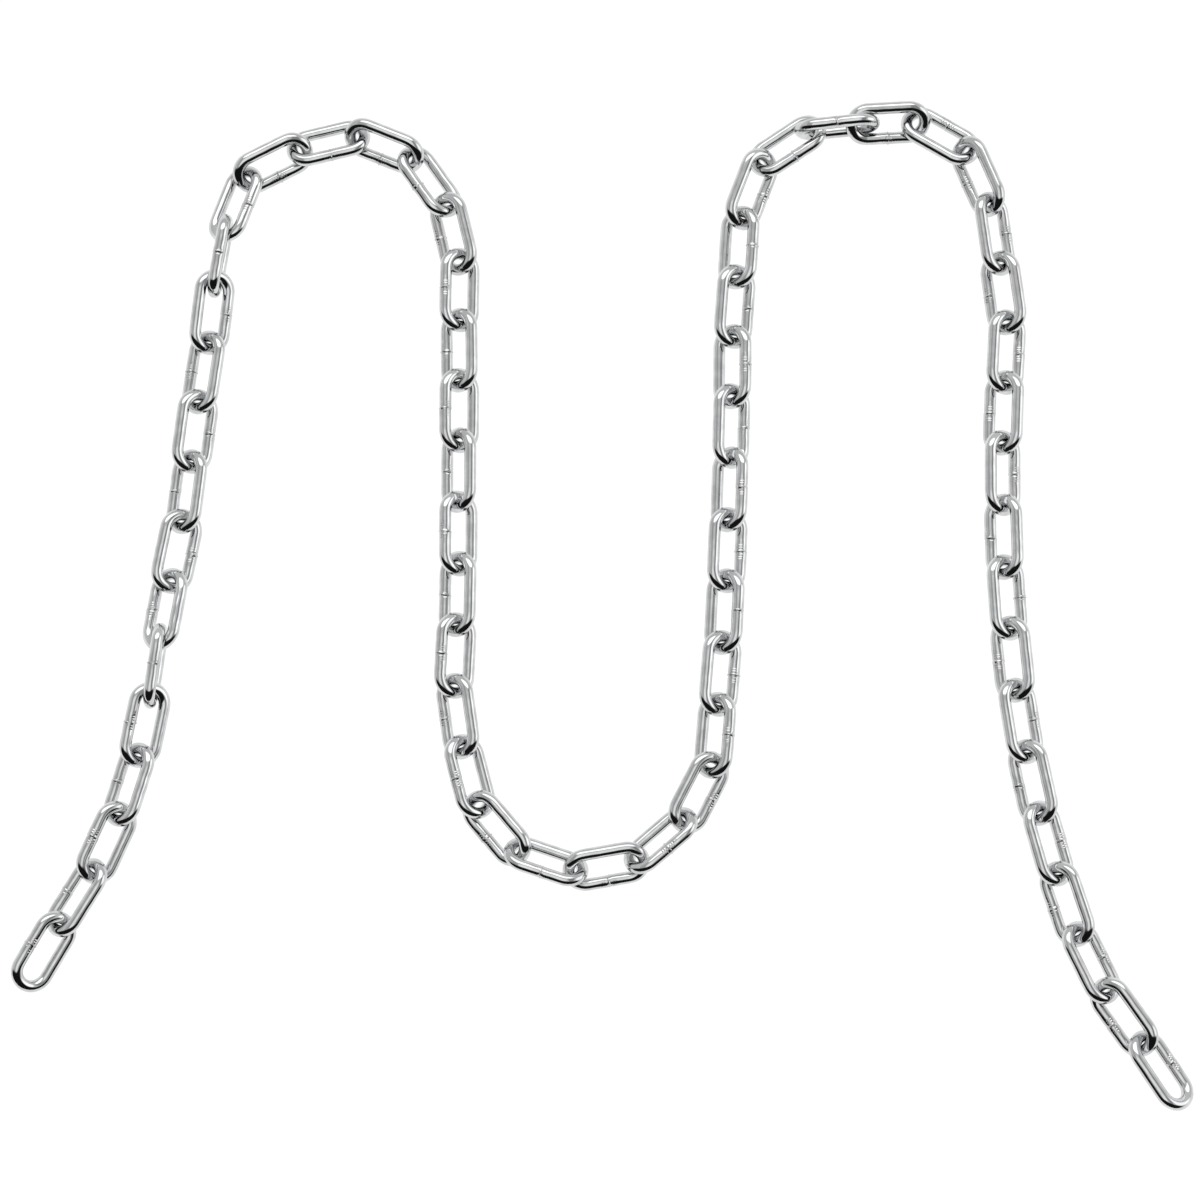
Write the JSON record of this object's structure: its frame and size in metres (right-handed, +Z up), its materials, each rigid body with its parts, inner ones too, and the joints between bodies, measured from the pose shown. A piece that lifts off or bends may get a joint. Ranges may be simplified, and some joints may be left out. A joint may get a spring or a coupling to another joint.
{
  "type": "steel chain",
  "caption": "Length of welded long-link steel chain, bright zinc finish, laid flat in an open wave with loose end links.",
  "frame": {"origin": "on the floor under the middle of the laid-out chain's bounding box", "axes": "+X across the waves from the first link's side to the last link's side, +Y along the upright runs towards the two upper bends, +Z up from the floor"},
  "size_m": [0.5926, 0.5178, 0.0234],
  "materials": {
    "zinc_steel": "gloss"
  },
  "bodies": {
    "root": {"link_01": "zinc_steel", "link_02": "zinc_steel", "link_03": "zinc_steel", "link_04": "zinc_steel", "link_05": "zinc_steel", "link_06": "zinc_steel", "link_07": "zinc_steel", "link_08": "zinc_steel", "link_09": "zinc_steel", "link_10": "zinc_steel", "link_11": "zinc_steel", "link_12": "zinc_steel", "link_13": "zinc_steel", "link_14": "zinc_steel", "link_15": "zinc_steel", "link_16": "zinc_steel", "link_17": "zinc_steel", "link_18": "zinc_steel", "link_19": "zinc_steel", "link_20": "zinc_steel", "link_21": "zinc_steel", "link_22": "zinc_steel", "links_23_24": "zinc_steel", "link_25": "zinc_steel", "link_26": "zinc_steel", "link_27": "zinc_steel", "link_28": "zinc_steel", "link_29": "zinc_steel", "link_30": "zinc_steel", "link_31": "zinc_steel", "link_32": "zinc_steel", "link_33": "zinc_steel", "link_34": "zinc_steel", "link_35": "zinc_steel", "link_36": "zinc_steel", "link_37": "zinc_steel", "links_38_39": "zinc_steel", "link_40": "zinc_steel", "link_41": "zinc_steel", "link_42": "zinc_steel", "link_43": "zinc_steel", "link_44": "zinc_steel", "link_45": "zinc_steel", "link_46": "zinc_steel", "link_47": "zinc_steel", "link_48": "zinc_steel", "link_49": "zinc_steel", "link_50": "zinc_steel", "link_51": "zinc_steel", "link_52": "zinc_steel", "links_53_54": "zinc_steel", "link_55": "zinc_steel", "link_56": "zinc_steel", "link_57": "zinc_steel", "link_58": "zinc_steel", "link_59": "zinc_steel", "link_60": "zinc_steel", "link_61": "zinc_steel", "link_62": "zinc_steel", "link_63": "zinc_steel"}
  },
  "joints": []
}
